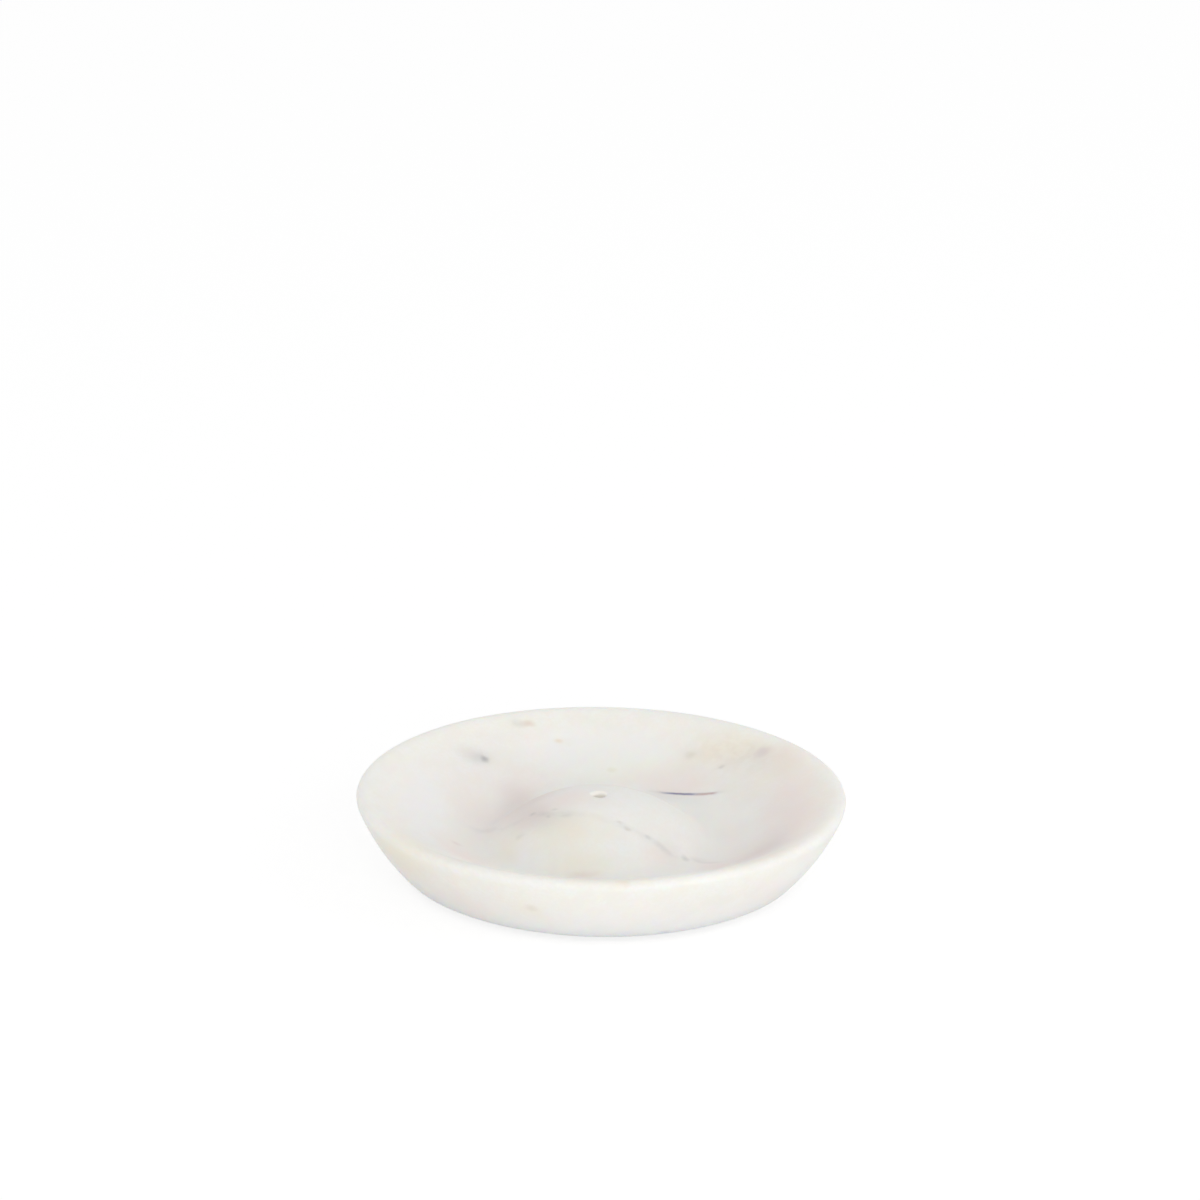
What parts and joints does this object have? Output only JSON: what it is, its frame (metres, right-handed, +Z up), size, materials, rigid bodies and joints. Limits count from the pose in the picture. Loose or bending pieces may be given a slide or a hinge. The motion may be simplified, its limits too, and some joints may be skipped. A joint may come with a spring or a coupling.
{
  "type": "incense holder",
  "caption": "Round shallow marble dish with a flared wall and soft lip; a broad central mound is drilled to hold an incense stick and the bowl round it catches the ash.",
  "frame": {"origin": "on the table top, under the middle of the dish", "axes": "+Z up along the turning axis, through the stick hole; -Y towards the picture's camera"},
  "size_m": [0.12, 0.12, 0.0198],
  "materials": {
    "marble": "honed white marble with pale tints, grey veins and small dark spots",
    "felt": "pressed wool felt, light grey"
  },
  "bodies": {
    "root": {"marble_dish": "marble", "felt_foot_1": "felt", "felt_foot_2": "felt", "felt_foot_3": "felt", "felt_foot_4": "felt"}
  },
  "joints": []
}
